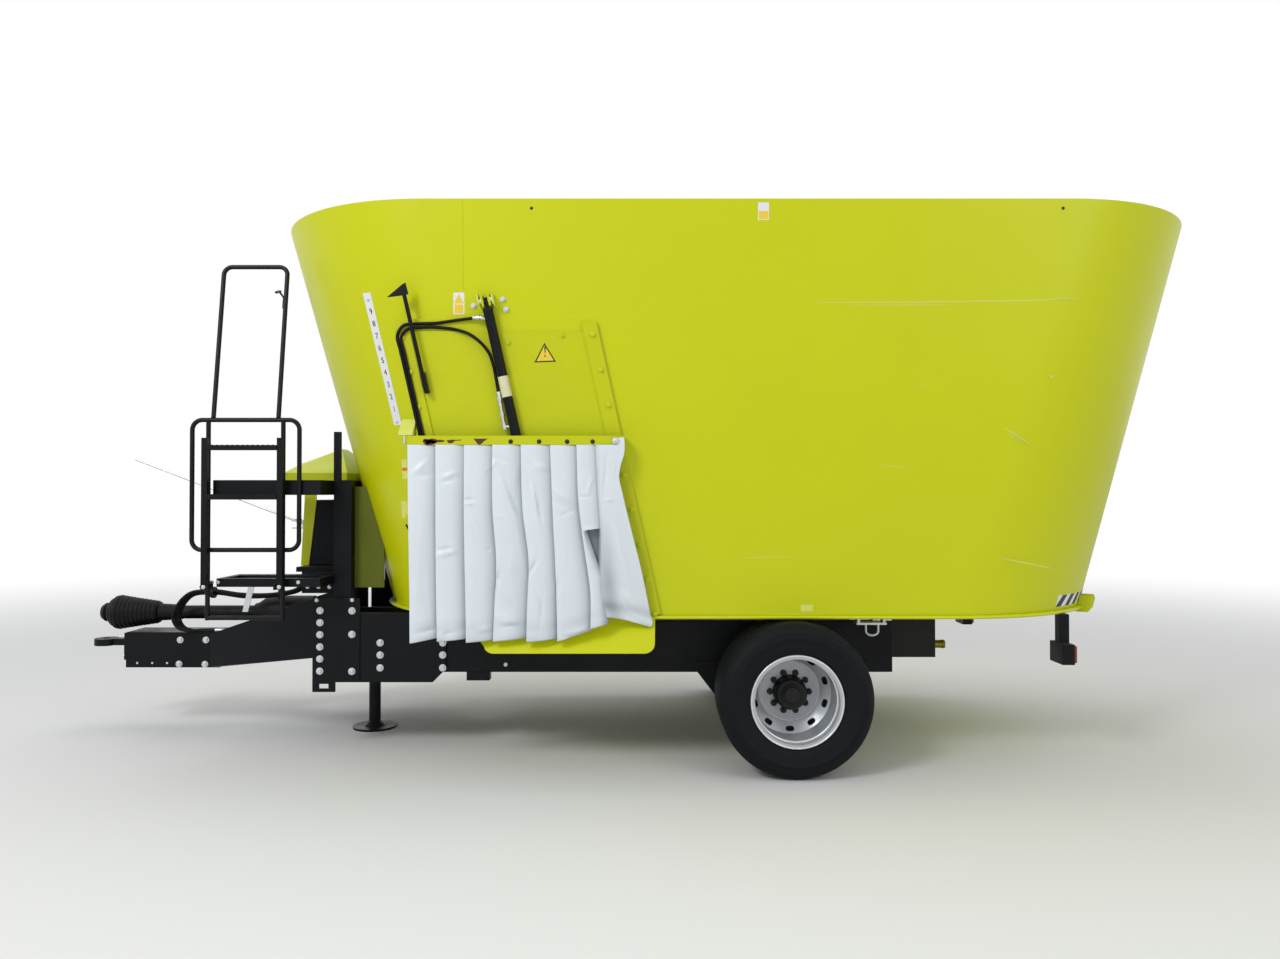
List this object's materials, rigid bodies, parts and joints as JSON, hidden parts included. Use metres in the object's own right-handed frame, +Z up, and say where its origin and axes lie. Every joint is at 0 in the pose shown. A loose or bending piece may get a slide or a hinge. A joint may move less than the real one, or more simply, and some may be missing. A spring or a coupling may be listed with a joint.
{
  "type": "feed mixer wagon",
  "caption": "Towed vertical feed mixer wagon with a tall oval tub, two vertical augers, a sliding side discharge door behind a curtain, a folding ladder and a parking jack.",
  "frame": {"origin": "centre of the whole object's box at floor level, under the tub", "axes": "+X to the rear, the drawbar points to -X, +Y to the wagon's right side, +Z up"},
  "size_m": [7.2, 2.55, 3.25],
  "materials": {
    "tub_paint": "gloss",
    "door_paint": "gloss",
    "frame_paint": "satin",
    "tube_paint": "satin",
    "curtain_cloth": "matte",
    "rubber_hose": "matte",
    "guard_plastic": "matte",
    "scale_plate": "satin",
    "zinc_steel": "satin",
    "auger_steel": "satin",
    "rod_chrome": "polished",
    "tyre_rubber": "matte",
    "rim_silver": "satin",
    "cast_housing": "satin",
    "lamp_red": "gloss"
  },
  "bodies": {
    "root": {"tub_shell": "tub_paint", "tub_floor": "tub_paint", "door_rails": "door_paint", "curtain_bar": "door_paint", "curtain": "curtain_cloth", "chute": "tub_paint", "cylinder_barrel": "frame_paint", "door_hoses": "rubber_hose", "tub_brackets": "tub_paint", "scale_strip": "scale_plate", "frame_beams": "frame_paint", "front_plates": "frame_paint", "gantry": "frame_paint", "drawbar": "frame_paint", "towing_eye": "frame_paint", "jack_tube": "frame_paint", "platform": "frame_paint", "ladder_frame": "tube_paint", "handrail": "tube_paint", "hood_cover": "tub_paint", "oil_tank": "frame_paint", "pto_shaft": "guard_plastic", "pto_guard": "guard_plastic", "supply_hoses": "rubber_hose", "driveline": "cast_housing", "axle_beam": "frame_paint", "load_cells": "zinc_steel", "rear_brackets": "frame_paint", "rear_lamps": "lamp_red", "hose_holder": "zinc_steel"},
    "wheel_left": {"tyre_left": "tyre_rubber", "rim_left": "rim_silver", "hub_left": "cast_housing"},
    "wheel_right": {"tyre_right": "tyre_rubber", "rim_right": "rim_silver", "hub_right": "cast_housing"},
    "front_auger": {"auger_front": "auger_steel", "knives_front": "zinc_steel"},
    "rear_auger": {"auger_rear": "auger_steel", "knives_rear": "zinc_steel"},
    "door": {"door_plate": "door_paint", "door_pointer": "frame_paint", "door_rod": "rod_chrome"},
    "jack": {"jack_leg": "frame_paint"},
    "ladder": {"ladder_fold": "frame_paint"}
  },
  "joints": [
    {"name": "wheel_left_spin", "type": "hinge", "parent": "root", "child": "wheel_left", "pos_m": [1.005, -1.055, 0.4375], "axis": [0, 1, 0], "continuous": true},
    {"name": "wheel_right_spin", "type": "hinge", "parent": "root", "child": "wheel_right", "pos_m": [1.005, 1.055, 0.4375], "axis": [0, 1, 0], "continuous": true},
    {"name": "front_auger_turn", "type": "hinge", "parent": "root", "child": "front_auger", "pos_m": [-0.42, 0, 0.914], "axis": [0, 0, 1], "continuous": true},
    {"name": "rear_auger_turn", "type": "hinge", "parent": "root", "child": "rear_auger", "pos_m": [1.93, 0, 0.914], "axis": [0, 0, 1], "continuous": true},
    {"name": "door_slide", "type": "slide", "parent": "root", "child": "door", "axis": [0.2147, 0.0581, -0.9749], "range_m": [0, 0.75]},
    {"name": "jack_slide", "type": "slide", "parent": "root", "child": "jack", "axis": [0, 0, 1], "range_m": [0, 0.27]},
    {"name": "ladder_hinge", "type": "hinge", "parent": "root", "child": "ladder", "pos_m": [-2.21, -0.944, 1.048], "axis": [1, 0, 0], "range_deg": [0, 178]}
  ],
  "couplings": [
    {"joint": "rear_auger_turn", "follows": "front_auger_turn", "ratio": 1}
  ]
}
